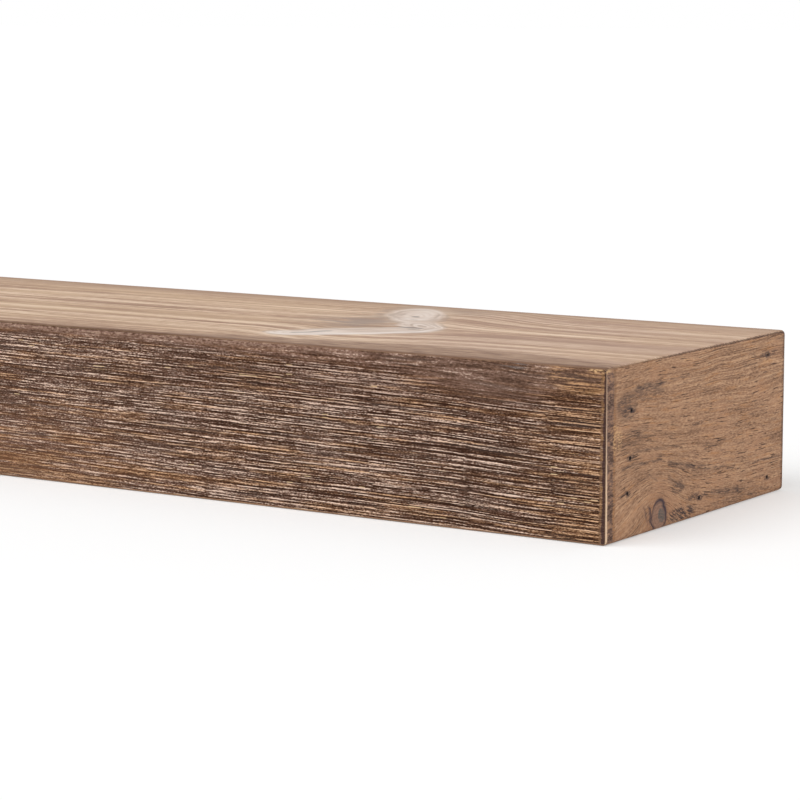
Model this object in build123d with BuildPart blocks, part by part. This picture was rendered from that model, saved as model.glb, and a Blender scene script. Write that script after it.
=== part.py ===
"""Wood mantel shelf: a hollow box beam of five mitred boards, open at the back.

The shelf is a long shallow box. A top, a front and a bottom board run its whole length, and an end
board closes each end. Every outer edge where two boards meet is a 45 degree mitre, so only face grain
shows, and the seam lies on the edge itself. The back is open: the shelf slips over a ledger batten on
the wall, and screws go up through the bottom board into the batten.

Units are millimetres. X runs along the shelf, the front faces -Y, the wall is at +Y and Z is up. The
origin is the middle of the underside.
"""

from build123d import *
import os

# Outer size of the shelf
length = 1524.0
depth = 228.6
height = 101.6

# All five boards are planed from the same stock
board_thickness = 19.0

# The long edges and the edges of the ends are rounded over after gluing
edge_radius = 3.0
# The upright front corners are only broken with sandpaper
corner_radius = 0.8

# Countersunk holes in the bottom board, in a line over the middle of the ledger batten
ledger_depth = 38.0
screw_count = 4
end_screw_inset = 152.4
screw_hole_radius = 2.25
screw_head_radius = 4.5

# Places worked out from the sizes above
right = length / 2
front = -depth / 2
back = depth / 2
screw_line = back - ledger_depth / 2
screw_spacing = (length - 2 * end_screw_inset) / (screw_count - 1)


def mitre(edge_point, waste):
    """The 45 degree saw cut through an outer edge. It passes through edge_point, and waste points at the offcut."""
    return Plane(origin=edge_point, z_dir=waste)


def saw(*cuts):
    """Saws the board being made along each cut and drops the offcut."""
    for cut in cuts:
        split(bisect_by=cut, keep=Keep.BOTTOM)


def round_over():
    """Takes the board being made down to the rounded outline of the finished shelf."""
    add(outline.part, mode=Mode.INTERSECT)


# Outline of the finished shelf: its front, side and plan views, each extruded through the others
with BuildPart() as outline:
    with BuildSketch(Plane.XZ.offset(-back)):
        Rectangle(length, height, align=(Align.CENTER, Align.MIN))
        fillet(vertices(), radius=edge_radius)
    extrude(amount=depth)
    with BuildSketch(Plane.YZ.offset(-right)):
        Rectangle(depth, height, align=(Align.CENTER, Align.MIN))
        fillet(vertices().group_by(Axis.X)[0], radius=edge_radius)
    extrude(amount=length, mode=Mode.INTERSECT)
    with BuildSketch(Plane.XY):
        Rectangle(length, depth)
        fillet(vertices().group_by(Axis.Y)[0], radius=corner_radius)
    extrude(amount=height, mode=Mode.INTERSECT)

# Top board: mitred along the front and at both ends, square at the back
with BuildPart() as top_board:
    with BuildSketch(Plane.XY.offset(height - board_thickness)):
        Rectangle(length, depth)
    extrude(amount=board_thickness)
    saw(
        mitre((0, front, height), (0, -1, -1)),
        mitre((-right, 0, height), (-1, 0, -1)),
        mitre((right, 0, height), (1, 0, -1)),
    )
    round_over()

# Front board: mitred on all four edges
with BuildPart() as front_board:
    with BuildSketch(Plane.XZ.offset(-front - board_thickness)):
        Rectangle(length, height, align=(Align.CENTER, Align.MIN))
    extrude(amount=board_thickness)
    saw(
        mitre((0, front, height), (0, 1, 1)),
        mitre((0, front, 0), (0, 1, -1)),
        mitre((-right, front, 0), (-1, 1, 0)),
        mitre((right, front, 0), (1, 1, 0)),
    )
    round_over()

# Bottom board: mitred as the top board, with the screw holes in a line near its back edge
with BuildPart() as bottom_board:
    with BuildSketch(Plane.XY):
        Rectangle(length, depth)
    extrude(amount=board_thickness)
    saw(
        mitre((0, front, 0), (0, -1, 1)),
        mitre((-right, 0, 0), (-1, 0, 1)),
        mitre((right, 0, 0), (1, 0, 1)),
    )
    round_over()
    with Locations(Plane(origin=(0, screw_line, 0), z_dir=(0, 0, -1))):
        with GridLocations(screw_spacing, 0, screw_count, 1):
            CounterSinkHole(screw_hole_radius, screw_head_radius)

# Right end board: mitred at the top, the bottom and the front, square at the back
with BuildPart() as right_end_board:
    with BuildSketch(Plane.YZ.offset(right - board_thickness)):
        Rectangle(depth, height, align=(Align.CENTER, Align.MIN))
    extrude(amount=board_thickness)
    saw(
        mitre((right, 0, height), (-1, 0, 1)),
        mitre((right, 0, 0), (-1, 0, -1)),
        mitre((right, front, 0), (-1, -1, 0)),
    )
    round_over()

# Left end board: the mirror image of the right one
with BuildPart() as left_end_board:
    add(right_end_board.part.mirror(Plane.YZ))

boards = {
    "top_board": top_board,
    "front_board": front_board,
    "bottom_board": bottom_board,
    "right_end_board": right_end_board,
    "left_end_board": left_end_board,
}

os.makedirs("parts", exist_ok=True)
for name, board in boards.items():
    board.part.label = name
    export_step(board.part, f"parts/{name}.step")
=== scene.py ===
import math

import bpy
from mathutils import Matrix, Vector


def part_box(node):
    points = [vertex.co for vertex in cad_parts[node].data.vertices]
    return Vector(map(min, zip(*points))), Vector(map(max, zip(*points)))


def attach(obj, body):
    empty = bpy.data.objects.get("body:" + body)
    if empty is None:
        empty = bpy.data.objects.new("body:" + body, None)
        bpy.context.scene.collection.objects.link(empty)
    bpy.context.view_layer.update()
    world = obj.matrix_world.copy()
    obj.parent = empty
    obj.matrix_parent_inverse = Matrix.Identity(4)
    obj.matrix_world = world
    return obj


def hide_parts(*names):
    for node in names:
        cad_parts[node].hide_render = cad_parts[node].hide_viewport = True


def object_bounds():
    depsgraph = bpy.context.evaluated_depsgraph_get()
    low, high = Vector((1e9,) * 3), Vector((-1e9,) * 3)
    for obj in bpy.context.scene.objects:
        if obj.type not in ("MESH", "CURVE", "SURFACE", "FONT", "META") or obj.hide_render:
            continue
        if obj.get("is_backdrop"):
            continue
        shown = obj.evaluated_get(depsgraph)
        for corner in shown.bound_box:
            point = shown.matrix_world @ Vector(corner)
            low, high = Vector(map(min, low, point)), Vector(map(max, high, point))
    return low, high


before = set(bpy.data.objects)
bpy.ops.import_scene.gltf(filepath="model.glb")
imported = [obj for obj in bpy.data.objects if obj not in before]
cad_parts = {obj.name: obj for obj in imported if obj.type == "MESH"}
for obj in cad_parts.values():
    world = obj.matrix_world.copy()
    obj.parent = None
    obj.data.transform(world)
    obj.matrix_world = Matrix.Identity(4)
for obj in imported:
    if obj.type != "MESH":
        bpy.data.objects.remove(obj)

bl_info = {
    "name": "Wood mantel shelf",
    "version": (1, 0, 0),
    "blender": (4, 5, 0),
    "location": "View3D > Sidebar > Mantel",
    "description": "Builds the finished boards of a hollow mantel shelf round its frame",
    "category": "Object",
}

# The frame, in metres. The right end faces +X, the front faces -Y and the wall is at +Y
LOW, HIGH = (Vector(corner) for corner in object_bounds())
BOARD_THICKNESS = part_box("top_board")[1].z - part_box("top_board")[0].z
# A rounded edge drops by this share of its radius where its two boards meet, at 45 degrees
SEAM_DROP = 1 - math.sin(math.radians(45))
EDGE_RADIUS = (HIGH.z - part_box("front_board")[1].z) / SEAM_DROP
CORNER_RADIUS = (HIGH.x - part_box("front_board")[1].x) / SEAM_DROP

MM = 0.001
# A lump of noise that never ends along an axis
FAR = math.inf
X, Y, Z = range(3)


def srgb(red, green, blue):
    """A linear colour from the 0 to 255 values that a colour picker shows."""
    shares = (value / 255 for value in (red, green, blue))
    return tuple(s / 12.92 if s <= 0.04045 else ((s + 0.055) / 1.055) ** 2.4 for s in shares)


def tint(name, description, *shown):
    """A colour that the user may change, first as a colour picker shows it."""
    return bpy.props.FloatVectorProperty(
        name=name, description=description, subtype="COLOR", size=3, min=0, max=1,
        default=srgb(*shown),
    )


def length(name, description, default):
    return bpy.props.FloatProperty(
        name=name, description=description, unit="LENGTH", min=0, default=default
    )


class ShelfFinish(bpy.types.PropertyGroup):
    """The stains, with painted shade in the seams and nail holes and a painted highlight on the
    bead, and the depths of the relief
    """

    valley: tint("Valley stain", "Dark stain in the brushed valleys", 55, 31, 18)
    slope: tint("Slope stain", "Stain on the sides of the ridges", 101, 72, 56)
    ridge: tint("Ridge", "Ridges that the brush has cleared", 143, 111, 96)
    crest: tint("Crest", "The palest tops of the ridges", 238, 208, 188)
    warm: tint("Warm ridge", "Orange brown ridges", 214, 164, 116)
    warm_slope: tint("Warm slope", "Brown between the warm ridges", 126, 86, 58)
    cool: tint("Cool patch", "Greyer patches of the front", 104, 92, 86)
    rubbed: tint("Rubbed edge", "Paler wood on the rounded edge", 176, 146, 126)
    corner: tint("Corner line", "Dark line on the front corner", 74, 52, 48)
    cream: tint("Bare corner", "Bare wood low on the front corner", 224, 192, 160)
    # The corner line is dark stain and, along the mitre seams, painted shade
    cream_top: tint("Bare corner top", "The same line higher up", 198, 168, 144)
    # The bead's golden brown carries a painted highlight of the raised bead
    gold_line: tint("Gold line", "Golden brown of the bead", 160, 122, 82)
    dent: tint("Dent", "Bluish dents under the upper edge", 84, 84, 86)

    top: tint("Top stain", "Light brown stain of the top board", 188, 156, 130)
    top_pale: tint("Pale ring", "Pale growth rings of the top", 226, 200, 174)
    top_dark: tint("Dark ring", "Darker growth rings of the top", 148, 116, 94)
    top_rosy: tint("Rosy top", "Pinker parts near the right end", 178, 148, 132)
    top_gold: tint("Golden top", "Yellower parts of the top", 200, 170, 138)
    top_back: tint("Top by the wall", "Darker tan along the wall", 172, 142, 118)
    top_band: tint("Front band", "Brown band along the top's front", 144, 114, 93)
    knot_white: tint("White knot", "Palest wood of the top's knot", 231, 220, 212)
    knot_pale: tint("Pale knot", "Whitish wood of the top's knot", 216, 200, 189)
    knot_ringed: tint("Knot rings", "Fine rings of the top's knot", 184, 166, 154)
    knot_mark: tint("Knot mark", "Dark marks in the top's knot", 92, 84, 80)
    knot_grey: tint("Grey knot", "Grey wood of the top's knot", 150, 130, 117)

    end: tint("End stain", "Mid brown stain of the end boards", 160, 123, 96)
    end_pale: tint("Pale end", "Paler grain of the end boards", 196, 157, 124)
    end_deep: tint("Deep end", "Darker grain of the end boards", 108, 79, 60)
    end_warm: tint("Warm end", "Orange tint of the end boards", 170, 126, 96)
    end_orange: tint("Orange edge", "Orange line by the corner", 184, 128, 78)
    end_dark: tint("End pores", "Dark pores of the end boards", 58, 42, 38)
    stain: tint("Grey stain", "Grey stains on the end boards", 62, 50, 50)
    end_purple: tint("Purple band", "Purplish band by the corner", 108, 84, 77)
    bright: tint("Bright corner", "Rubbed patch by the corner", 212, 172, 126)
    # The nail hole colour is partly dark filler and partly painted shade in the pits
    hole: tint("Nail hole", "The dark nail holes", 30, 24, 24)
    knot_inside: tint("Knot", "Wood inside the end's knot", 140, 110, 96)
    knot_ring: tint("Knot ring", "Bark ring of the end's knot", 62, 50, 56)
    knot_core: tint("Knot core", "Middle of the end's knot", 84, 84, 82)

    raw: tint("Raw wood", "Unstained wood inside the shelf", 214, 186, 148)
    raw_dark: tint("Raw grain", "Grain of the unstained wood", 178, 142, 102)

    brush_depth: length("Brush depth", "Depth of the brushed valleys", 0.7 * MM)
    seam_gap: length("Seam gap", "Open gap along each mitre", 0.25 * MM)
    nail_radius: length("Nail radius", "Radius of the nail holes", 0.8 * MM)


class Studio(bpy.types.PropertyGroup):
    """The strengths of the lights"""

    ambient: bpy.props.FloatProperty(name="Ambient", description="World light", default=0.5)
    key: bpy.props.FloatProperty(name="Key", description="Wide light, upper left", default=1.15)
    fill: bpy.props.FloatProperty(name="Fill", description="Wide light, right", default=1.4)


class Field:
    """One output of a shader or geometry node. Arithmetic on fields adds Math nodes."""

    def __init__(self, tree, socket=None):
        self.tree = tree
        self.socket = socket

    def node(self, kind, settings=None, inputs=None, output=0):
        """Adds a node, with its settings set first, and gives one of its outputs."""
        made = self.tree.nodes.new(kind)
        for name, value in (settings or {}).items():
            if name == "stops":
                fill_ramp(made.color_ramp, value)
            else:
                setattr(made, name, value)
        for name, value in (inputs or {}).items():
            if isinstance(value, Field):
                self.tree.links.new(value.socket, made.inputs[name])
            else:
                made.inputs[name].default_value = value
        return Field(self.tree, made.outputs[output]) if made.outputs else None

    def math(self, operation, first, second=0.0, clamp=False):
        settings = {"operation": operation, "use_clamp": clamp}
        return self.node("ShaderNodeMath", settings, {0: first, 1: second})

    def __add__(self, other):
        return self.math("ADD", self, other)

    def __sub__(self, other):
        return self.math("SUBTRACT", self, other)

    def __mul__(self, other):
        return self.math("MULTIPLY", self, other)

    def __truediv__(self, other):
        return self.math("DIVIDE", self, other)

    def __pow__(self, other):
        return self.math("POWER", self, other)

    def __rsub__(self, other):
        return self.math("SUBTRACT", other, self)

    def __rtruediv__(self, other):
        return self.math("DIVIDE", other, self)

    def __neg__(self):
        return self.math("MULTIPLY", self, -1.0)

    __radd__ = __add__
    __rmul__ = __mul__

    def least(self, other):
        return self.math("MINIMUM", self, other)

    def most(self, other):
        return self.math("MAXIMUM", self, other)

    def clamped(self):
        return self.math("ADD", self, 0.0, clamp=True)

    def size(self):
        return self.math("ABSOLUTE", self)

    def fade(self, start, end):
        """0 at start and 1 at end, smooth between them. start may be above end."""
        inputs = {"Value": self, "From Min": start, "From Max": end}
        return self.node("ShaderNodeMapRange", {"interpolation_type": "SMOOTHSTEP"}, inputs)

    def hump(self, middle, half_width):
        """1 in the middle and 0 a few half widths away, like a bell."""
        away = (self - middle) / half_width
        return self.math("EXPONENT", -(away * away))

    def wave(self, spacing):
        """Even waves with the given spacing: 1 on their crests and 0 between."""
        return self.math("SINE", self * (math.tau / spacing)) * 0.5 + 0.5

    def parts(self):
        """The x, y and z of a place."""
        made = self.node("ShaderNodeSeparateXYZ", None, {0: self}).socket.node
        return tuple(Field(self.tree, output) for output in made.outputs)

    def in_millimetres(self):
        inputs = {0: self, "Scale": 1 / MM}
        return self.node("ShaderNodeVectorMath", {"operation": "SCALE"}, inputs)

    def raised(self, step):
        """A place moved up by a step."""
        upwards = self.node("ShaderNodeCombineXYZ", None, {Z: step})
        return self.node("ShaderNodeVectorMath", {"operation": "ADD"}, {0: self, 1: upwards})

    def noise(self, size, seed, detail=1.0, roughness=0.5):
        """Smooth noise about 0.5, in lumps of the given size. Each seed has its own stretch."""
        lumps = tuple(1 / side for side in size)
        stretch_start = (seed * 3.7, seed * 5.3, seed * 7.9)
        inputs = {0: self, 1: lumps, 2: stretch_start}
        vector = self.node("ShaderNodeVectorMath", {"operation": "MULTIPLY_ADD"}, inputs)
        inputs = {"Vector": vector, "Scale": 1.0, "Detail": detail, "Roughness": roughness}
        return self.node("ShaderNodeTexNoise", None, inputs)

    def random(self):
        """A random number from 0 to 1 for each value of this one."""
        return self.node("ShaderNodeTexWhiteNoise", {"noise_dimensions": "1D"}, {"W": self})

    def ramp(self, *stops):
        """A colour that this value picks between stops of (value, colour)."""
        return self.node("ShaderNodeValToRGB", {"stops": stops}, {0: self})

    def mixed(self, colour, share):
        """This colour turned to another by a share from 0 to 1."""
        inputs = {0: share, 6: self, 7: colour if isinstance(colour, Field) else (*colour, 1.0)}
        return self.node("ShaderNodeMix", {"data_type": "RGBA"}, inputs, output=2)


def fill_ramp(ramp, stops):
    while len(ramp.elements) < len(stops):
        ramp.elements.new(0.5)
    for element, (position, colour) in zip(ramp.elements, stops):
        element.position = position
        element.color = (*colour, 1.0)


def cleared(owner):
    """Empties the nodes of a material or a world, and gives the start of new ones."""
    owner.use_nodes = True
    owner.node_tree.nodes.clear()
    return Field(owner.node_tree)


# From here to the boards, every place and length of the finishes is in millimetres

# Shine of the stained wood, which has no varnish
MATT_SHINE = 0.12


def new_material(name):
    """An empty material and the place on the surface."""
    material = bpy.data.materials.new(name)
    place = cleared(material).node("ShaderNodeTexCoord", output="Object")
    return material, place.in_millimetres()


def finish_material(place, colour, roughness, height, depth):
    """Joins a colour, a roughness and a relief of the given depth into the surface."""
    bump = place.node("ShaderNodeBump", None, {"Distance": depth * MM, "Height": height})
    inputs = {"Base Color": colour, "Roughness": roughness, "Normal": bump}
    inputs["Specular IOR Level"] = MATT_SHINE
    surface = place.node("ShaderNodeBsdfPrincipled", None, inputs)
    place.node("ShaderNodeOutputMaterial", None, {"Surface": surface})


def from_right(place):
    """Distance from the right end of the shelf."""
    return HIGH.x / MM - place.parts()[X]


def from_end(place):
    """Distance from the nearer end."""
    return HIGH.x / MM - place.parts()[X].size()


def from_front(place):
    return place.parts()[Y] - LOW.y / MM


def from_wall(place):
    return HIGH.y / MM - place.parts()[Y]


def from_top(place):
    return HIGH.z / MM - place.parts()[Z]


def on_right_end(place):
    """1 on the right half of the shelf and 0 on the left."""
    return place.parts()[X].fade(-1, 1)


def lined_up(place):
    """The front's place with its lines made level: on the shelf they sink towards the right end."""
    sink = place.parts()[X] * 0.015 + from_right(place).fade(112, 42) * 1.6
    wander = place.noise((170, FAR, 45), seed=1) - 0.5
    return place.raised(sink + wander * 1.8)


def brush_strokes(place):
    """Which length, brushed in one go, a place lies in, and how far along it, from 0 to 1."""
    ragged = place.noise((FAR, FAR, 3), seed=2, detail=3, roughness=0.8) - 0.5
    uneven = place.noise((110, FAR, 60), seed=8) - 0.5
    along = (from_right(place) + ragged * 30 + uneven * 36 - 33) / 62
    number = along.math("FLOOR", along)
    return number, along - number


def summed(*layers):
    """The sum of noises about zero, each with its strength."""
    return sum((noise - 0.5) * strength for noise, strength in layers)


def fine_line(noise, width):
    """Thin lines, 1 in their middle, where smooth noise passes through its middle value."""
    return (noise - 0.5).size().fade(width, 0.0)


def brush_margin(place):
    """How far the brush reached: 1 on the open face, little by the upper edge, 0 by the ends."""
    ragged = place.noise((4, FAR, 1.1), seed=11) - 0.5
    bead = 4.4 - place.parts()[Z] * 0.012
    by_end = (from_end(place) + ragged * 2.4).fade(bead - 0.7, bead + 0.5)
    right = from_right(place)
    # The smooth strip under the upper edge widens towards the right end
    smooth_part = right.hump(74, 46)
    strip = 2.4 + right.fade(330, 190) * 3.5 + smooth_part * 6
    soft = 7 + smooth_part * 13
    by_top = (from_top(place) + ragged * 5).fade(strip, strip + soft)
    return by_end * (0.18 + by_top * 0.82)


def brushed_relief(place):
    """Height of the wire-brushed face, from 0 in the deepest valleys to 1 on the ridges."""
    level_lines = lined_up(place)
    number, share = brush_strokes(place)
    strokes = level_lines.raised(number.random() * 20)
    # The wires of the brush leave nearly even lines, which drift and fade
    drift = strokes.noise((80, FAR, 5), seed=3) * 2.2
    wires = (strokes.parts()[Z] + drift).wave(1.9) ** 1.5 - 0.42
    ridges = level_lines.noise((90, FAR, 0.62), seed=10)
    lengths = level_lines.noise((34, FAR, 0.58), seed=4)
    dashes = strokes.noise((8, FAR, 0.52), seed=5)
    specks = place.noise((1.5, FAR, 0.5), seed=6)
    patches = level_lines.noise((50, FAR, 5), seed=7, detail=2) - 0.5
    grooves = fine_line(level_lines.noise((150, FAR, 1.8), seed=9), 0.075)
    # The lines are longer and bolder towards the right end
    far = from_right(place).fade(90, 460)
    broad = level_lines.noise((90, FAR, 1.25), seed=12)
    height = summed(
        (ridges, 0.84 - far * 0.52), (broad, 0.35 - far * 0.15), (lengths, 0.4),
        (dashes, 0.5 + far * 0.3), (specks, 0.64 + far * 0.24),
    )
    height = height + wires * (dashes * 0.34 + 0.02 - far * 0.04)
    level = height * (2.6 - far * 0.45 + patches * 0.4) + 0.655 + patches * 0.08
    level = level - grooves * (0.2 + lengths * 0.3)
    # The brush is lifted at the end of each length, so the ridges sink there
    level = level - (share - 0.5).size().fade(0.44, 0.5) * 0.06
    # The power makes the crests narrower than the valleys
    return level.clamped() ** 1.3


def front_material(finish):
    material, place = new_material("Brushed front")
    z = place.parts()[Z]
    right = from_right(place)
    under = from_top(place)
    relief = brushed_relief(place)
    margin = brush_margin(place)
    lines = lined_up(place)
    specks = place.noise((2.4, FAR, 0.9), seed=21, detail=2, roughness=0.75)
    smears = lines.noise((24, FAR, 1.2), seed=26, detail=2)
    smooth = summed((specks, 1.9), (smears, 2.1)) + 0.48
    level = smooth + (relief - smooth) * margin
    low_left = right.fade(240, 460) * z.fade(70, 15)
    # The stain is darker some way under the upper edge, but not at the far left
    shaded = under.hump(20, 11) * right.fade(420, 250)
    level = level + (right.fade(120, 520) - 0.5) * 0.07 + low_left * 0.07
    level = level * (1 - shaded * 0.16) + 0.01
    # The lines are fainter by the lower edge at the far left
    faint = low_left * 0.32 + right.fade(250, 520) * 0.1
    level = (level + (0.46 - level) * faint).clamped()
    colour = level.ramp(
        (0.0, finish.valley), (0.32, finish.slope), (0.66, finish.ridge), (1.0, finish.crest)
    )
    gold = level.ramp((0.0, finish.valley), (0.35, finish.warm_slope), (1.0, finish.warm))
    patch = lines.noise((55, FAR, 2.2), seed=22, detail=2, roughness=0.6)
    golden = right.fade(80, 5) * 0.17 + z.fade(35, 5) * 0.06 + low_left * 0.1
    warmth = (patch + golden).fade(0.46, 0.72) * (0.25 + margin * 0.5)
    colour = colour.mixed(gold, warmth)
    cool = lines.noise((60, FAR, 3.6), seed=23, detail=2).fade(0.5, 0.72)
    unbrushed = (1 - margin) * right.fade(170, 90)
    colour = colour.mixed(finish.cool, cool * 0.25 + unbrushed * 0.2)
    colour = colour.mixed(finish.warm_slope, unbrushed * 0.12)
    # The rounded upper edge is rubbed paler, but not above the smooth dark part near the right end
    upper = (under + (specks - 0.5) * 5).fade(5.6, 3.0)
    grit = place.noise((3.2, FAR, 1.3), seed=27, detail=2, roughness=0.7)
    rubbed = grit.ramp((0.38, finish.slope), (0.5, finish.ridge), (0.62, finish.rubbed))
    colour = colour.mixed(rubbed, upper * right.fade(120, 230) * 0.85)
    # Tan streaks and a bluish dent near the upper right corner
    worn = oval((14, 6), (24, 10), right, under) * smears.fade(0.44, 0.6)
    colour = colour.mixed(finish.warm, worn * specks.fade(0.3, 0.55) * 0.65)
    dent = oval((64, 2.5), (13, 2.4), right, under)
    colour = colour.mixed(finish.dent, dent * smears.fade(0.42, 0.62) * 0.6)
    # Dark line along the seam with the top: partly stain and partly painted shade in the mitre seam
    seam_stain_and_shade = (under + (specks - 0.5) * 1.2).fade(1.9, 1.1)
    colour = colour.mixed(finish.valley, seam_stain_and_shade * right.fade(250, 360) * 0.6)
    colour = front_corner(finish, place, colour)
    # Bare wood at the very corner
    bare = oval((4, 1.6), (8, 1.5), right, under)
    colour = colour.mixed(finish.bright, bare * specks.fade(0.42, 0.58) * 0.8)
    finish_material(place, colour, 0.74 - level * 0.12, level, 0.8)
    return material


def front_corner(finish, place, colour):
    """Adds the smooth bead where the brushing stops, golden brown with a painted highlight, and the
    dark corner beyond it, stain with painted shade in the mitre seam.
    """
    z = place.parts()[Z]
    blotches = place.noise((FAR, FAR, 3.5), seed=25, detail=3, roughness=0.7) - 0.5
    near = from_end(place) + blotches * 3.4
    bead = 5.0 - z * 0.011
    grain = place.noise((1.1, FAR, 3), seed=24, detail=3, roughness=0.7)
    # The bead is golden brown wood with a painted highlight of a raised bead
    tan = grain.ramp((0.38, finish.warm_slope), (0.52, finish.gold_line), (0.75, finish.warm))
    dark = 2.9 - z * 0.013
    bead_tone_and_highlight = near.fade(bead, bead - 1.0) * near.fade(dark - 0.6, dark)
    colour = colour.mixed(tan, bead_tone_and_highlight * (0.25 + blotches.fade(-0.1, 0.15) * 0.45))
    # The dark corner is partly stain and partly painted shade in the mitre seam
    corner = grain.ramp((0.62, finish.corner), (0.8, finish.slope))
    return colour.mixed(corner, near.fade(dark, dark - 0.6) * 0.92)


# Brightness of the growth rings of the top board, by their distance from the front
TOP_RINGS = (
    (0, 0.25), (20, 0.32), (38, 0.5), (46, 0.72), (53, 0.45), (61, 0.84), (70, 0.3),
    (81, 0.9), (93, 0.26), (103, 0.4), (114, 0.8), (125, 0.32), (132, 0.4), (140, 0.74),
    (151, 0.42), (162, 0.72), (174, 0.42), (188, 0.36), (208, 0.42), (218, 0.15), (228.6, 0.05),
)


def ring_level(place):
    """Brightness of the top's growth rings, and the place across them as if they ran straight."""
    right, front = from_right(place), from_front(place)
    beyond = front.fade(85, 112)
    step = right.fade(310, 130) * beyond * 14
    side = front.fade(35, 175) * 2 - 1
    swerve = right.hump(214, 54) * (26 + side * 4) * right.fade(300, 245)
    wander = place.noise((260, 60, FAR), seed=31) - 0.5
    across = front - step - swerve * side + wander * 6
    whole = TOP_RINGS[-1][0]
    rings = (across / whole).ramp(*((at / whole, (grey,) * 3) for at, grey in TOP_RINGS))
    return rings.node("ShaderNodeRGBToBW", None, {0: rings}), across


def top_material(finish):
    material, place = new_material("Sanded top")
    right, front = from_right(place), from_front(place)
    rings, across = ring_level(place)
    unbent = place.node("ShaderNodeCombineXYZ", None, {X: right, Y: across})
    lines = unbent.noise((300, 4.4, FAR), seed=33, detail=3, roughness=0.62)
    streaks = unbent.noise((80, 1.9, FAR), seed=38, detail=3, roughness=0.7)
    fibre = place.noise((9, 0.9, 0.9), seed=34, detail=2)
    patches = place.noise((200, 45, FAR), seed=35, detail=2)
    veins = fine_line(unbent.noise((450, 12, FAR), seed=59), 0.09)
    mottle = place.noise((13, 4.5, FAR), seed=60, detail=3, roughness=0.7)
    # Crisp narrow rings fan out from the right of the knot
    fan = right.hump(182, 40) * front.fade(70, 120)
    narrow = (across + (streaks - 0.5) * 3).wave(9) - 0.5
    level = rings + veins * 0.25 + narrow * fan * 0.3 - right.fade(250, 500) * 0.03 - 0.1
    level = level + summed(
        (lines, 1.5), (streaks, 1.8), (mottle, 0.9), (fibre, 0.6), (patches, 0.3)
    )
    # The grain is fainter by the right end, and finer
    near_end = right.fade(110, 5)
    level = level + (0.42 - level) * near_end * 0.55 + summed((fibre, near_end * 0.5))
    level = level.clamped()
    colour = level.ramp((0.05, finish.top_dark), (0.5, finish.top), (0.95, finish.top_pale))
    golden = patches.fade(0.42, 0.6) * right.fade(200, 420)
    colour = colour.mixed(finish.top_gold, golden * 0.45)
    rosy = patches.fade(0.56, 0.4) * right.fade(330, 120)
    colour = colour.mixed(finish.top_rosy, rosy * 0.4)
    # Darker tan along the wall, and a brown band along the front that thins out to the left
    back = (front + (lines - 0.5) * 40).fade(196, 214)
    colour = colour.mixed(finish.top_back, back * 0.6)
    wall_edge = (front + (fibre - 0.5) * 8).fade(219, 227)
    colour = colour.mixed(finish.top_band, wall_edge * 0.6)
    # How far the brown band reaches from the front
    reach = 7 + right.hump(110, 130) * 35 + right.hump(250, 90) * 8
    band = (front + summed((lines, 14), (streaks, 12))).fade(reach, reach - 9)
    flecks = place.noise((22, 3.6, FAR), seed=40, detail=3, roughness=0.7)
    brown = flecks.ramp((0.32, finish.slope), (0.46, finish.top_band), (0.66, finish.top_back))
    colour = colour.mixed(brown, band * (0.3 + right.fade(460, 270) * 0.65))
    edge = (front + (fibre - 0.5) * 6).fade(8, 2)
    colour = colour.mixed(finish.slope, edge * (0.25 + right.fade(460, 300) * 0.4))
    colour, arms, swirls = top_knot(finish, place, colour)
    # Dark lines along the seams with the front and the end: partly stain and partly painted shade
    # in the mitre seams
    front_seam_stain_and_shade = (front + (fibre - 0.5) * 1.5).fade(2.6, 1.4)
    colour = colour.mixed(finish.valley, front_seam_stain_and_shade * right.fade(250, 360) * 0.48)
    seam_stain_and_shade = (from_end(place) + (fibre - 0.5) * 2.4).fade(1.9, 1.0)
    colour = colour.mixed(finish.corner, seam_stain_and_shade * (0.3 + front.fade(40, 90) * 0.55))
    relief = level + (swirls - level) * arms
    finish_material(place, colour, 0.62 - level * 0.06, relief, 0.12)
    return material


# The eye and the neck of the top's knot lean over by this angle
KNOT_LEAN = math.atan2(73, 49)
# Dark marks in the top's knot: the middle from the right end and the front, radii, strength
KNOT_MARKS = (
    ((235, 165), (3.4, 2.4), 0.9), ((205, 109), (10, 2.6), 0.8),
    ((197, 103), (5, 2.2), 0.35), ((226, 150), (3, 1.6), 0.3),
)


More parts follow.
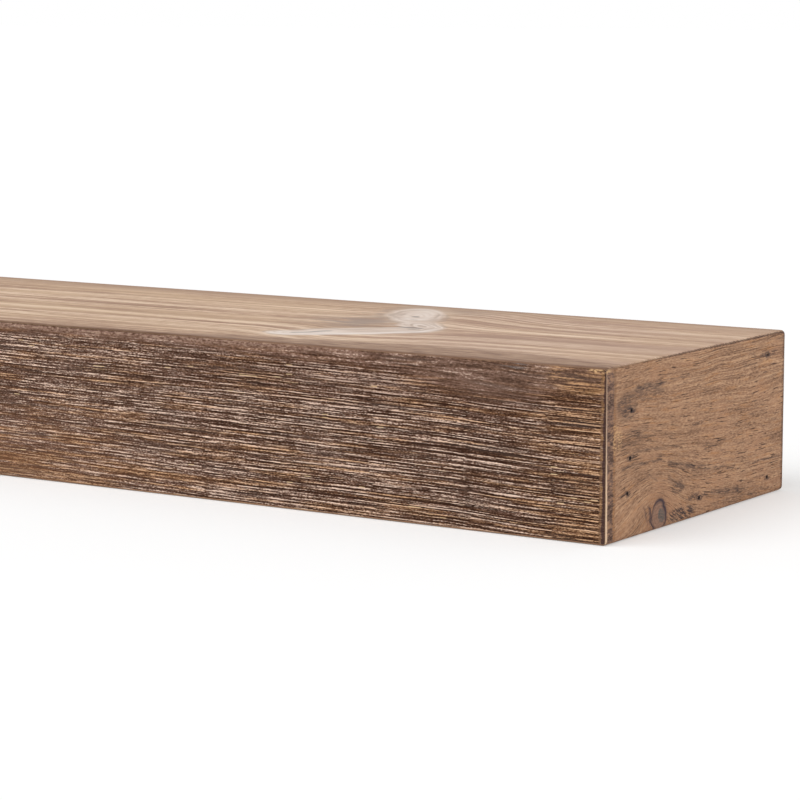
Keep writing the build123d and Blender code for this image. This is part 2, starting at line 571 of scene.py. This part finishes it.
def top_knot(finish, place, colour):
    """Adds the top's knot: a pale eye, a smaller oval and a long whitish arm round a grey crook.

    It gives the colour, the mask of the knot's pale parts, and the rings in them.
    """
    warp = place.noise((30, 24, FAR), seed=32) - 0.5
    warp_up = place.noise((30, 24, FAR), seed=39) - 0.5
    right = from_right(place) + warp * 13
    front = from_front(place) + warp_up * 13
    crook = place.noise((26, 8, FAR), seed=36, detail=3)
    nook = right.hump(250, 30) * front.hump(122, 30)
    colour = colour.mixed(finish.knot_grey, (nook * crook.fade(0.3, 0.62) * 1.3).clamped() * 0.9)
    tail = right.hump(222, 26) * front.hump(204, 16)
    colour = colour.mixed(finish.knot_grey, (tail * crook * 1.5).clamped() * 0.6)
    eye = leaning_oval(right, front, (238, 172), (45, 21))
    neck = leaning_oval(right, front, (203, 122), (35, 15))
    sliver = arm(right, front, (253, 50), (196, 102), (14, 18))
    near = eye.least(neck).least(sliver)
    # Fine rings that follow the outline, and change slowly along it
    ringed = near.node("ShaderNodeCombineXYZ", None, {X: near, Y: right * 0.02, Z: front * 0.02})
    swirls = ringed.noise((0.2, 1, 1), seed=37)
    halo = near.fade(1.6, 0.9)
    colour = colour.mixed(finish.top_pale, halo * 0.2)
    arms = near.fade(1.12, 0.76)
    pale = swirls.ramp(
        (0.38, finish.knot_white), (0.51, finish.knot_pale), (0.67, finish.knot_ringed)
    )
    # The arm thins out near the neck, where the wood's own streaks show through
    worn_through = right.hump(213, 20) * front.hump(84, 18) * (0.1 + crook * 0.5)
    colour = colour.mixed(pale, arms * (0.52 + crook * 0.45) * (1 - worn_through))
    white = sliver.hump(0.78, 0.3) * (right + front * 1.2).fade(330, 300)
    colour = colour.mixed(finish.knot_white, white * 0.75)
    rim = near.hump(1.04, 0.07) * crook.fade(0.4, 0.55)
    shadow = eye.hump(1.15, 0.2) * right.fade(236, 262) * crook.fade(0.35, 0.55)
    colour = colour.mixed(finish.knot_grey, (rim * 0.4).most(shadow * 0.55))
    colour = spotted(colour, finish.knot_mark, KNOT_MARKS, from_right(place) + warp * 6, front)
    crack = arm(right, front, (251, 51), (234, 67), (2.8, 1.6))
    colour = colour.mixed(finish.knot_mark, crack.fade(1.5, 0.4) * 0.6)
    return colour, arms, swirls


def leaning_oval(across, up, middle, radii):
    """Distance from the middle of an oval that leans over: 1 along its outline."""
    away, over = across - middle[0], up - middle[1]
    long_way = (over * math.sin(KNOT_LEAN) + away * math.cos(KNOT_LEAN)) / radii[0]
    short_way = (over * math.cos(KNOT_LEAN) - away * math.sin(KNOT_LEAN)) / radii[1]
    return (long_way * long_way + short_way * short_way) ** 0.5


def arm(across, up, start, end, widths):
    """Distance from a line between two points over its half width there: 1 along the outline.

    The half width goes from the first of widths at the ends to the second in the middle.
    """
    step = (end[0] - start[0], end[1] - start[1])
    reach = math.hypot(*step)
    away = (across - start[0], up - start[1])
    share = ((away[0] * step[0] + away[1] * step[1]) / reach ** 2).clamped()
    left, rest = away[0] - share * step[0], away[1] - share * step[1]
    width = share.hump(0.5, 0.42) * (widths[1] - widths[0]) + widths[0]
    return (left * left + rest * rest) ** 0.5 / width


def oval(middle, radii, across, up):
    """A soft oval mask round a point."""
    reach = ((across - middle[0]) / radii[0], (up - middle[1]) / radii[1])
    return (reach[0] * reach[0] + reach[1] * reach[1]).fade(1.4, 0.5)


def spotted(colour, paint, spots, across, up, broken=1.0):
    """Paints soft ovals, each with its middle, its radii and its strength."""
    for middle, radii, strength in spots:
        colour = colour.mixed(paint, oval(middle, radii, across, up) * broken * strength)
    return colour


def end_flow(place):
    """An end's place with its grain made level. The grain arches over a knot by the floor."""
    z = place.parts()[Z]
    front = from_front(place)
    crown = 66 - z * 0.6
    arch = front.hump(crown, 64) * z.fade(104, 30) * 15
    over_knot = front.hump(64, 26) * z.fade(45, 12) * 9
    wander = place.noise((FAR, 70, 22), seed=41) - 0.5
    return place.raised(wander * 7 - arch - over_knot)


def end_material(finish):
    material, place = new_material("Sanded end")
    z = place.parts()[Z]
    front = from_front(place)
    flow = end_flow(place)
    rings = flow.noise((FAR, 110, 2.6), seed=42, detail=2, roughness=0.6)
    fibre = flow.noise((1.2, 14, 0.8), seed=43, detail=2, roughness=0.65)
    fine = flow.noise((1.2, 3, 0.7), seed=44)
    comb = flow.noise((FAR, 60, 0.85), seed=49)
    tints = flow.noise((FAR, 25, 2.2), seed=50, detail=2, roughness=0.6)
    patches = flow.noise((FAR, 45, 12), seed=45, detail=2)
    combed = z.fade(50, 84) * front.fade(50, 130)
    level = summed(
        (rings, 0.6), (comb, 0.4 + combed * 0.9), (fibre, 0.7), (fine, 1.15), (patches, 0.6)
    )
    level = (level + 0.52).clamped()
    colour = level.ramp((0.05, finish.end_deep), (0.5, finish.end), (0.95, finish.end_pale))
    colour = colour.mixed(finish.end_warm, patches.fade(0.46, 0.68) * 0.4)
    colour = colour.mixed(finish.end_orange, tints.fade(0.5, 0.75) * 0.4)
    # Short dark pores along the grain, thickest by the front corner, and broken dark lines
    crowd = front.hump(34, 28) * z.hump(57, 10) * 0.085
    streak = flow.parts()[Z].hump(21, 2.5) * front.fade(50, 90) * 0.07
    sparse = z.fade(58, 76) * 0.03
    pores = flow.noise((1, 15, 0.8), seed=46, roughness=0.6)
    pores = pores - sparse + (crowd + streak) * on_right_end(place) + (patches - 0.5) * 0.16
    pores = pores.fade(0.642, 0.687)
    dark_lines = flow.noise((1, 38, 0.75), seed=48)
    dark_lines = dark_lines.fade(0.60, 0.70) * fine.fade(0.4, 0.55)
    dark_lines = dark_lines * (0.25 + z.fade(60, 88) * front.fade(80, 150) * 0.6)
    marks = pores.most(dark_lines)
    colour = colour.mixed(finish.end_dark, marks * 0.85)
    colour, height = end_marks(finish, place, flow, colour, level - marks * 0.7)
    # The dark line where this board meets the top, partly stain and partly painted shade in the
    # mitre seam, and the dark line along the wall
    rough_edge = place.noise((1.5, 1.8, 1.5), seed=47, detail=2) - 0.5
    top_seam_stain_and_shade = (from_top(place) + rough_edge * 1.8).fade(1.9, 1.1)
    colour = colour.mixed(finish.corner, top_seam_stain_and_shade * (0.25 + front.fade(40, 90) * 0.6))
    back_edge = (from_wall(place) + rough_edge * 6).fade(4, 0.5)
    colour = colour.mixed(finish.corner, back_edge * 0.6)
    finish_material(place, colour, 0.64 - height * 0.04, height, 0.16)
    return material


# On an end, a place is given by its distances from the front and from the floor

# Middles of the nail holes
NAIL_HOLES = ((29.7, 74.4), (28.7, 46.9), (25.8, 26.8), (115, 11.4), (206.7, 11.4), (205.3, 88.6))
# Broken dark stains and faint even ones: middle, radii and strength
STAINS = (
    ((22, 79), (10, 5), 0.6), ((27, 73), (9, 3), 0.65), ((48, 82), (20, 5), 0.45),
    ((30, 57), (24, 3), 0.3), ((40, 62), (18, 2), 0.3), ((88, 22), (9, 4), 0.6),
    ((92, 5.5), (18, 4), 0.95), ((112, 13), (14, 2.2), 0.65), ((128, 40), (8, 1.2), 0.7),
    ((112, 57), (8, 1.2), 0.6), ((206, 89), (20, 1.6), 0.6), ((166, 4), (50, 2), 0.35),
)
SMUDGES = (((24, 77), (13, 9), 0.26), ((48, 84), (26, 4), 0.16), ((150, 10), (26, 3), 0.12))
# Dashed streaks: start, end, half width and strength
STREAKS = (
    ((36, 86), (64, 86.5), 2.4, 0.8), ((64, 86.5), (100, 87), 1.2, 0.6),
    ((22, 51), (92, 46), 1.2, 0.5), ((20, 42), (66, 42), 1.8, 0.75),
    ((76, 37.5), (122, 29), 2.2, 0.75), ((122, 28), (162, 25), 1.0, 0.7),
    ((180, 23.5), (224, 23), 0.9, 0.7), ((132, 12.5), (166, 9), 2.2, 0.8),
    ((166, 9), (200, 6.5), 1.2, 0.6), ((16, 25.5), (34, 30), 0.7, 0.5),
    ((34, 30), (52, 34), 0.8, 0.6), ((52, 34), (62, 29), 0.7, 0.5), ((76, 28), (94, 21), 1.8, 0.6),
)


def end_marks(finish, place, flow, colour, height):
    """Adds the right end's knot and stains, and the nail holes and the front corner of both ends.

    It gives the colour and the height.
    """
    z = place.parts()[Z]
    front = from_front(place)
    on_right = on_right_end(place)
    smear = flow.noise((FAR, 5, 1.3), seed=52, detail=3, roughness=0.75)
    # The knot: warm wood ringed with dark bark, with a blue grey middle
    warp = place.noise((FAR, 9, 6), seed=51, detail=2) - 0.5
    away = ((front - 64.2 + warp * 4) / 0.95, (z - 7.5 + warp * 3) / 1.05)
    from_knot = (away[0] * away[0] + away[1] * away[1]) ** 0.5
    halo = from_knot.fade(24, 9) * on_right
    colour = colour.mixed(finish.end_warm, halo * 0.5)
    inside = from_knot.fade(9.6, 8.2) * on_right
    colour = colour.mixed(finish.knot_inside, inside * 0.65)
    growth = from_knot.math("SINE", from_knot / 0.36 + warp * 6) * 0.5 + 0.5
    colour = colour.mixed(finish.end_dark, growth * halo * smear.fade(0.3, 0.6) * 0.35)
    # The bark is thickest at the upper right
    thick = ((away[0] + away[1]) / 14 + 0.2).clamped()
    rim = from_knot.hump(9.2, 0.7 + thick * 0.9) * on_right
    colour = colour.mixed(finish.knot_ring, rim * (0.75 + thick * 0.25))
    core = oval((67.4, 8.2), (4.8, 4.4), front + warp * 8, z) * on_right
    colour = colour.mixed(finish.knot_core, core * (0.5 + smear.fade(0.35, 0.6) * 0.35))
    slope = (front + z * 0.45 + warp * 8).hump(58, 1.3)
    bark = slope * z.fade(17, 14) * on_right
    colour = colour.mixed(finish.knot_ring, bark * 0.8)
    outer = (front + z * 0.8 + warp * 8).hump(57, 1.3)
    colour = colour.mixed(finish.knot_ring, outer * z.hump(11, 6) * on_right * 0.5)
    colour = spotted(colour, finish.stain, SMUDGES, front, z, broken=on_right)
    broken = smear.fade(0.42, 0.56) * on_right
    colour = spotted(colour, finish.stain, STAINS, front, z, broken)
    dashed = flow.noise((FAR, 9, 0.9), seed=56, detail=2, roughness=0.65).fade(0.42, 0.6)
    for start, stop, half_width, strength in STREAKS:
        near = arm(front, z, start, stop, (half_width, half_width))
        streak = near.fade(1.4, 0.2) * (dashed * 0.85 + 0.15) * on_right
        colour = colour.mixed(finish.stain, streak * strength)
    # The nail holes, on both ends, are dark, partly filler and partly painted shade in the pits,
    # and lie in faint stains
    for middle in NAIL_HOLES:
        ring = oval(middle, (4.6, 1.9), front + warp * 5, z + warp * 4)
        colour = colour.mixed(finish.stain, ring * smear.fade(0.36, 0.56) * 0.7)
        # Dark filler and painted shade in the pit
        pit = oval(middle, (1.4, 1.3), front, z)
        colour = colour.mixed(finish.hole, pit * (0.95 - z.fade(80, 86) * 0.35))
    colour, scratches = end_corner(finish, place, colour)
    return colour, height + (scratches - 0.5)


def end_corner(finish, place, colour):
    """Adds the front corner of an end: a bare cream line, then a dark band and an orange one.

    It gives the colour and the scratches.
    """
    z = place.parts()[Z]
    front = from_front(place)
    blotches = place.noise((FAR, FAR, 4), seed=53, detail=4, roughness=0.7) - 0.5
    scratches = place.noise((FAR, 3.2, 1), seed=54, detail=3, roughness=0.75)
    edge = front + blotches * 4.5
    brown = edge.fade(12.6, 10.4)
    colour = colour.mixed(finish.end_deep, brown * 0.5)
    orange = edge.hump(9.8, 1.7) * scratches.fade(0.42, 0.6) * z.fade(96, 66)
    colour = colour.mixed(finish.end_orange, orange * 0.5)
    bright = oval((12, 60), (7, 9), edge, z) * scratches.fade(0.46, 0.62)
    colour = colour.mixed(finish.bright, bright * on_right_end(place) * 0.7)
    clots = place.noise((FAR, 7, 2.6), seed=55, detail=2, roughness=0.6) - 0.5
    level = scratches + blotches * 0.5 + clots * 0.9 + z.fade(10, 90) * 0.06
    band = level.ramp((0.39, finish.end_dark), (0.53, finish.end_purple), (0.69, finish.end))
    colour = colour.mixed(band, edge.fade(10.2, 7.8) * 0.8)
    # The bare line widens towards the floor
    width = 2.6 - z * 0.019
    line = front + blotches
    cream = z.fade(20, 70)
    bare = cream.ramp((0.0, finish.cream), (1.0, finish.cream_top))
    colour = colour.mixed(bare, line.fade(width + 0.4, width) * 0.95)
    # A dark line along the front arris: partly stain and partly painted shade in the mitre seam
    first = (front + blotches * 0.6).fade(0.8, 0.4)
    colour = colour.mixed(finish.corner, first * 0.7)
    tip = oval((0, 1.6), (6, 1.5), front, from_top(place))
    return colour.mixed(finish.bright, tip * scratches.fade(0.4, 0.55) * 0.7), scratches


def bottom_material(finish):
    material, place = new_material("Stained underside")
    lines = place.noise((300, 9, 30), seed=61, detail=3)
    fibre = place.noise((40, 0.9, 0.9), seed=62, detail=2)
    level = (summed((lines, 1.5), (fibre, 0.8)) + 0.5).clamped()
    stained = level.ramp((0.1, finish.end_deep), (0.5, finish.end), (0.9, finish.end_pale))
    raw = level.ramp((0.1, finish.raw_dark), (0.6, finish.raw))
    thickness = BOARD_THICKNESS / MM
    inside = place.parts()[Z].fade(thickness - 0.6, thickness - 0.2)
    at_back = (from_wall(place) - (fibre - 0.5)).fade(0.6, 0.3)
    colour = stained.mixed(raw, inside.most(at_back))
    finish_material(place, colour, 0.66 - level * 0.05, level, 0.12)
    return material


def raw_material(finish):
    material, place = new_material("Raw wood")
    lines = place.noise((260, 12, 5), seed=71, detail=3)
    fibre = place.noise((40, 1, 1), seed=72, detail=2)
    level = (summed((lines, 1.4), (fibre, 0.8)) + 0.5).clamped()
    colour = level.ramp((0.1, finish.raw_dark), (0.6, finish.raw))
    finish_material(place, colour, 0.82 - level * 0.05, level, 0.15)
    return material


def materials():
    """The materials by name, made once."""
    finish = bpy.context.scene.shelf_finish
    makers = {
        "Brushed front": front_material, "Sanded top": top_material,
        "Sanded end": end_material, "Stained underside": bottom_material, "Raw wood": raw_material,
    }
    return {name: bpy.data.materials.get(name) or make(finish) for name, make in makers.items()}


def deselect_all():
    for thing in bpy.context.selected_objects:
        thing.select_set(False)


def only(thing):
    """Makes one object the active and only selected one."""
    deselect_all()
    thing.select_set(True)
    bpy.context.view_layer.objects.active = thing


# From here on everything is in metres again


class Board:
    """One board: the way its face looks, and the rectangle of its face in that plane."""

    def __init__(self, node, facing, outward, turn, square_back):
        self.node = node
        self.facing = facing
        self.outward = outward
        self.turn = turn
        self.square_back = square_back
        self.flat = [axis for axis in (X, Y, Z) if axis != facing]
        self.face = HIGH[facing] if outward > 0 else LOW[facing]
        self.inner = self.face - outward * BOARD_THICKNESS

    def radius(self, axis):
        """Radius of the rounding at the sides that lie across this axis."""
        upright_corner = {self.facing, axis} == {X, Y}
        return CORNER_RADIUS if upright_corner else EDGE_RADIUS

    def rectangle(self, inset_of):
        """Low and high corner of the face, drawn in by inset_of(axis) except at a square back."""
        low, high = Vector(LOW), Vector(HIGH)
        for axis in self.flat:
            low[axis] += inset_of(axis)
            if not (self.square_back and axis == Y):
                high[axis] -= inset_of(axis)
        return low, high


# The boards that are made anew
BOARDS = {
    "front": Board("front_board", Y, -1, (90, 0, 0), False),
    "top": Board("top_board", Z, 1, (0, 0, 0), True),
    "right": Board("right_end_board", X, 1, (90, 0, 90), True),
    "left": Board("left_end_board", X, -1, (90, 0, -90), True),
}


def flat_grid(board, name, cell):
    """A grid over the flat part of a board's face. cell is its mesh size along and across."""
    low, high = board.rectangle(board.radius)
    size = high - low
    # The grid's own x runs along x on the front and the top, and along y on an end
    along, across = (Y, Z) if board.facing == X else board.flat
    bpy.ops.mesh.primitive_grid_add(
        x_subdivisions=round(size[along] / cell[0]), y_subdivisions=round(size[across] / cell[1]),
        size=1, rotation=[math.radians(angle) for angle in board.turn],
    )
    piece = bpy.context.object
    piece.name = name
    piece.data.name = name
    piece.scale = (size[along], size[across], 1)
    middle = (low + high) / 2
    middle[board.facing] = board.face
    piece.location = middle
    bpy.ops.object.transform_apply(location=True, rotation=True, scale=True)
    return piece


def stretch(before, after, board):
    """The scale and the pivot that turn one rectangle in the face's plane into another."""
    (low, high), (new_low, new_high) = before, after
    scale, pivot = [1.0, 1.0, 1.0], [0.0, 0.0, 0.0]
    for axis in board.flat:
        scale[axis] = (new_high[axis] - new_low[axis]) / (high[axis] - low[axis])
        keeps_back = board.square_back and axis == Y
        pivot[axis] = high[axis] if keeps_back else (low[axis] + high[axis]) / 2
    return scale, pivot


# Points nearer to the back than this lie on it
ON_BACK = 0.01 * MM


def select_rim(piece, board, with_back):
    """Selects the open edges of a board's face, with or without those along its square back."""
    bpy.ops.object.mode_set(mode="EDIT")
    bpy.ops.mesh.select_mode(type="EDGE")
    bpy.ops.mesh.select_all(action="DESELECT")
    bpy.ops.mesh.select_non_manifold(
        extend=False, use_wire=False, use_boundary=True, use_multi_face=False,
        use_non_contiguous=False, use_verts=False,
    )
    if with_back or not board.square_back:
        return
    bpy.ops.object.mode_set(mode="OBJECT")
    points = piece.data.vertices
    for edge in piece.data.edges:
        if all(abs(points[end].co.y - HIGH.y) < ON_BACK for end in edge.vertices):
            edge.select = False
    bpy.ops.object.mode_set(mode="EDIT")


def extrude_rim(scale, pivot):
    bpy.ops.mesh.extrude_region_move(TRANSFORM_OT_translate={"value": (0, 0, 0)})
    bpy.ops.transform.resize(value=scale, center_override=pivot)


# Rows of faces across a rounded edge, up to its seam
ROUNDING_STEPS = 4


def add_rounding_rows(piece, board, gap):
    """Adds the rows that the rounding needs, out to the seam, still in the face's plane."""
    select_rim(piece, board, with_back=False)
    before = board.rectangle(board.radius)
    for step in range(1, ROUNDING_STEPS + 1):
        reach = math.sin(math.radians(45) * step / ROUNDING_STEPS)
        spare = gap * step / ROUNDING_STEPS
        after = board.rectangle(lambda axis: board.radius(axis) * (1 - reach) + spare)
        extrude_rim(*stretch(before, after, board))
        before = after
    bpy.ops.object.mode_set(mode="OBJECT")
    return before


def rounding(place, board):
    """How far the rounded edges lie below a board's face, as a field in metres."""
    deepest = None
    coordinates = place.parts()
    for axis in board.flat:
        radius = board.radius(axis)
        sides = [coordinates[axis] - LOW[axis]]
        if not (board.square_back and axis == Y):
            sides.append(HIGH[axis] - coordinates[axis])
        for from_side in sides:
            short = (radius - from_side).most(0.0)
            drop = radius - place.math("SQRT", radius * radius - short * short)
            deepest = drop if deepest is None else deepest.most(drop)
    return deepest


def carve(piece, board, depth_of):
    """Sinks a board's face by a field of depths in metres, and applies it."""
    tree = bpy.data.node_groups.new(f"{piece.name} relief", "GeometryNodeTree")
    for direction in ("INPUT", "OUTPUT"):
        tree.interface.new_socket("Geometry", in_out=direction, socket_type="NodeSocketGeometry")
    start = Field(tree)
    face = start.node("NodeGroupInput")
    place = start.node("GeometryNodeInputPosition")
    depth = depth_of(place) * -board.outward
    step = start.node("ShaderNodeCombineXYZ", None, {board.facing: depth})
    carved = start.node("GeometryNodeSetPosition", None, {"Geometry": face, "Offset": step})
    start.node("NodeGroupOutput", None, {0: carved})
    only(piece)
    modifier = piece.modifiers.new("Relief", "NODES")
    modifier.node_group = tree
    bpy.ops.object.modifier_apply(modifier=modifier.name)


def close_board(piece, board, rim, gap):
    """Adds the mitred walls and the inner face behind a finished face."""
    select_rim(piece, board, with_back=True)
    inner = board.rectangle(lambda axis: BOARD_THICKNESS + gap)
    scale, pivot = stretch(rim, inner, board)
    scale[board.facing] = 0.0
    pivot[board.facing] = board.inner
    extrude_rim(scale, pivot)
    bpy.ops.mesh.edge_face_add()
    bpy.ops.mesh.select_all(action="SELECT")
    bpy.ops.mesh.normals_make_consistent(inside=False)
    bpy.ops.object.mode_set(mode="OBJECT")


# A pit over a nail slants, tapers inwards and is longer one way than the other
PIT_SIDES = 14
PIT_DEPTH = 3 * MM
PIT_TAPER = 0.7
PIT_STRETCH = 1.5
PIT_SLANT = math.radians(-25)


def punch_nail_holes(piece, board, radius):
    """Cuts a slanting oval pit over each sunk nail of an end board."""
    deselect_all()
    pits = []
    for from_front_mm, height_mm in NAIL_HOLES:
        bpy.ops.mesh.primitive_cone_add(
            vertices=PIT_SIDES, radius1=radius * PIT_TAPER, radius2=radius, depth=2 * PIT_DEPTH,
            location=(board.face, LOW.y + from_front_mm * MM, height_mm * MM),
            rotation=(PIT_SLANT, math.radians(90 * board.outward), 0), scale=(1, PIT_STRETCH, 1),
        )
        pits.append(bpy.context.object)
    for pit in pits:
        pit.select_set(True)
    bpy.ops.object.join()
    cutter = bpy.context.object
    only(piece)
    cut = piece.modifiers.new("Nail holes", "BOOLEAN")
    cut.operation = "DIFFERENCE"
    cut.solver = "EXACT"
    cut.object = cutter
    bpy.ops.object.modifier_apply(modifier=cut.name)
    only(cutter)
    bpy.ops.object.delete()


# Edges that turn by more than this stay sharp
SHARP_TURN = math.radians(40)


def build_board(key, name, cell, relief, finish_name):
    """Makes one finished board that stands for its node.

    cell is its mesh size in millimetres. relief turns a place in millimetres into metres of depth.
    """
    finish = bpy.context.scene.shelf_finish
    board = BOARDS[key]
    deselect_all()
    piece = flat_grid(board, name, [side * MM for side in cell])
    gap = finish.seam_gap / 2
    rim = add_rounding_rows(piece, board, gap)
    carve(piece, board, lambda place: rounding(place, board) + relief(place.in_millimetres()))
    close_board(piece, board, rim, gap)
    made = materials()
    for label in (finish_name, "Raw wood"):
        piece.data.materials.append(made[label])
    for face in piece.data.polygons:
        on_face = face.normal[board.facing] * board.outward > 0.5
        face.material_index = 0 if on_face else 1
    only(piece)
    bpy.ops.object.shade_smooth_by_angle(angle=SHARP_TURN)
    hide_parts(board.node)
    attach(piece, "root")
    return piece


class SHELF_OT_front_board(bpy.types.Operator):
    """Wire-brushed front board, mitred on all four edges"""

    bl_idname = "shelf.front_board"
    bl_label = "Front board"

    def execute(self, context):
        depth = context.scene.shelf_finish.brush_depth

        def relief(place):
            return (1 - brushed_relief(place)) * brush_margin(place) * depth

        build_board(
            "front", "brushed_front_board", (4.4, 0.38), relief, "Brushed front"
        )
        return {"FINISHED"}


class SHELF_OT_top_board(bpy.types.Operator):
    """Sanded top board with a pale knot"""

    bl_idname = "shelf.top_board"
    bl_label = "Top board"

    def execute(self, context):
        def relief(place):
            return place.noise((120, 25, FAR), seed=61) * (0.25 * MM)

        build_board("top", "sanded_top_board", (5, 2.5), relief, "Sanded top")
        return {"FINISHED"}


class SHELF_OT_end_boards(bpy.types.Operator):
    """Sanded end boards"""

    bl_idname = "shelf.end_boards"
    bl_label = "End boards"

    def execute(self, context):
        def relief(place):
            return place.noise((FAR, 40, 15), seed=62) * (0.2 * MM)

        for key in ("right", "left"):
            name = f"sanded_{key}_end_board"
            piece = build_board(key, name, (1, 1), relief, "Sanded end")
            punch_nail_holes(piece, BOARDS[key], context.scene.shelf_finish.nail_radius)
        return {"FINISHED"}


class SHELF_OT_bottom_board(bpy.types.Operator):
    """Stain and raw wood on the bottom board"""

    bl_idname = "shelf.bottom_board"
    bl_label = "Bottom board"

    def execute(self, context):
        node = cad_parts["bottom_board"]
        node.data.materials.clear()
        node.data.materials.append(materials()["Stained underside"])
        return {"FINISHED"}


def white_for_camera(start, light, seen):
    """A mix that shows one shader to the camera and in reflections, and lights with the other."""
    rays = start.node("ShaderNodeLightPath").socket.node.outputs
    camera, glossy, through = (
        Field(start.tree, rays[name])
        for name in ("Is Camera Ray", "Is Glossy Ray", "Is Transmission Ray")
    )
    share = (camera + glossy + through).clamped()
    return start.node("ShaderNodeMixShader", None, {0: share, 1: light, 2: seen})


WHITE = (1, 1, 1, 1)
FLOOR_SIZE = 60
# The floor lies a hair below the shelf, so that the two never share a plane
FLOOR_DROP = 0.1 * MM
FLOOR_PAINT = (0.8, 0.8, 0.8, 1)
FLOOR_GLOW = 0.22
# Under the shelf the floor turns clear between these distances inside the shelf's edges
CLEAR_INSET = (5 * MM, 5.5 * MM)
# Each lamp's direction from the shelf
LAMPS = {"key": (-0.4, -0.7, 1.0), "fill": (0.8, -0.5, 0.5)}
LAMP_WIDTH = math.radians(50)
# The camera stands to the right of the shelf and looks back along it, a little from above
CAMERA_PLACE = (HIGH.x + 0.77326, LOW.y - 1.38937, 0.3035)
CAMERA_LEFT = math.radians(33.2727)
CAMERA_DOWN = math.radians(7.8878)
CAMERA_LENS = 128.446
CAMERA_SENSOR = 36


class SHELF_OT_studio(bpy.types.Operator):
    """Pale floor, soft lights, white background and the camera"""

    bl_idname = "shelf.studio"
    bl_label = "Studio"

    def execute(self, context):
        studio = context.scene.shelf_studio
        self.make_floor()
        self.make_world(context, studio)
        self.make_lights(context, studio)
        self.make_camera(context)
        context.scene.view_settings.view_transform = "Standard"
        return {"FINISHED"}

    def make_floor(self):
        deselect_all()
        bpy.ops.mesh.primitive_plane_add(size=FLOOR_SIZE, location=(0, 0, -FLOOR_DROP))
        floor = bpy.context.object
        floor.name = "floor"
        material = bpy.data.materials.new("Pale floor")
        start = cleared(material)
        paint = start.node("ShaderNodeBsdfDiffuse", None, {"Color": FLOOR_PAINT})
        glow = start.node("ShaderNodeEmission", None, {"Color": WHITE, "Strength": FLOOR_GLOW})
        bright = start.node("ShaderNodeAddShader", None, {0: paint, 1: glow})
        surface = white_for_camera(start, paint, bright)
        # From below, and under the shelf, the floor is clear, so that the underside can be seen
        place = start.node("ShaderNodeTexCoord", output="Object")
        clear = start.node("ShaderNodeNewGeometry", output="Backfacing")
        under = 1.0
        for axis in (X, Y):
            outer, inner = (HIGH[axis] - inset for inset in CLEAR_INSET)
            under = place.parts()[axis].size().fade(outer, inner) * under
        glass = start.node("ShaderNodeBsdfTransparent")
        inputs = {0: under.most(clear), 1: surface, 2: glass}
        surface = start.node("ShaderNodeMixShader", None, inputs)
        start.node("ShaderNodeOutputMaterial", None, {"Surface": surface})
        floor.data.materials.append(material)
        floor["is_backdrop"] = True

    def make_world(self, context, studio):
        world = bpy.data.worlds.new("Studio")
        context.scene.world = world
        start = cleared(world)
        inputs = {"Color": WHITE, "Strength": studio.ambient}
        light = start.node("ShaderNodeBackground", None, inputs)
        seen = start.node("ShaderNodeBackground", None, {"Color": WHITE, "Strength": 1.0})
        surface = white_for_camera(start, light, seen)
        start.node("ShaderNodeOutputWorld", None, {"Surface": surface})

    def make_lights(self, context, studio):
        for name, direction in LAMPS.items():
            lamp = bpy.data.lights.new(f"{name}_softbox", "SUN")
            lamp.angle = LAMP_WIDTH
            lamp.energy = getattr(studio, name)
            thing = bpy.data.objects.new(lamp.name, lamp)
            thing.rotation_euler = Vector(direction).to_track_quat("Z", "Y").to_euler()
            context.scene.collection.objects.link(thing)

    def make_camera(self, context):
        camera = bpy.data.cameras.new("camera")
        camera.lens = CAMERA_LENS
        camera.sensor_width = CAMERA_SENSOR
        thing = bpy.data.objects.new("camera", camera)
        thing.location = CAMERA_PLACE
        thing.rotation_euler = (math.radians(90) - CAMERA_DOWN, 0, CAMERA_LEFT)
        context.scene.collection.objects.link(thing)
        context.scene.camera = thing


class SHELF_PT_panel(bpy.types.Panel):
    """The steps that build the shelf"""

    bl_idname = "SHELF_PT_panel"
    bl_label = "Mantel shelf"
    bl_space_type = "VIEW_3D"
    bl_region_type = "UI"
    bl_category = "Mantel"

    def draw(self, context):
        for operator in OPERATORS:
            self.layout.operator(operator.bl_idname)
        for group in (context.scene.shelf_finish, context.scene.shelf_studio):
            for name in group.__annotations__:
                self.layout.prop(group, name)


OPERATORS = (
    SHELF_OT_front_board,
    SHELF_OT_top_board,
    SHELF_OT_end_boards,
    SHELF_OT_bottom_board,
    SHELF_OT_studio,
)
CLASSES = (ShelfFinish, Studio, *OPERATORS, SHELF_PT_panel)


def register():
    for item in CLASSES:
        bpy.utils.register_class(item)
    bpy.types.Scene.shelf_finish = bpy.props.PointerProperty(type=ShelfFinish)
    bpy.types.Scene.shelf_studio = bpy.props.PointerProperty(type=Studio)


def unregister():
    del bpy.types.Scene.shelf_studio
    del bpy.types.Scene.shelf_finish
    for item in reversed(CLASSES):
        bpy.utils.unregister_class(item)


def main():
    register()
    deselect_all()
    bpy.ops.shelf.front_board()
    bpy.ops.shelf.top_board()
    bpy.ops.shelf.end_boards()
    bpy.ops.shelf.bottom_board()
    bpy.ops.shelf.studio()


if __name__ == "__main__":
    main()
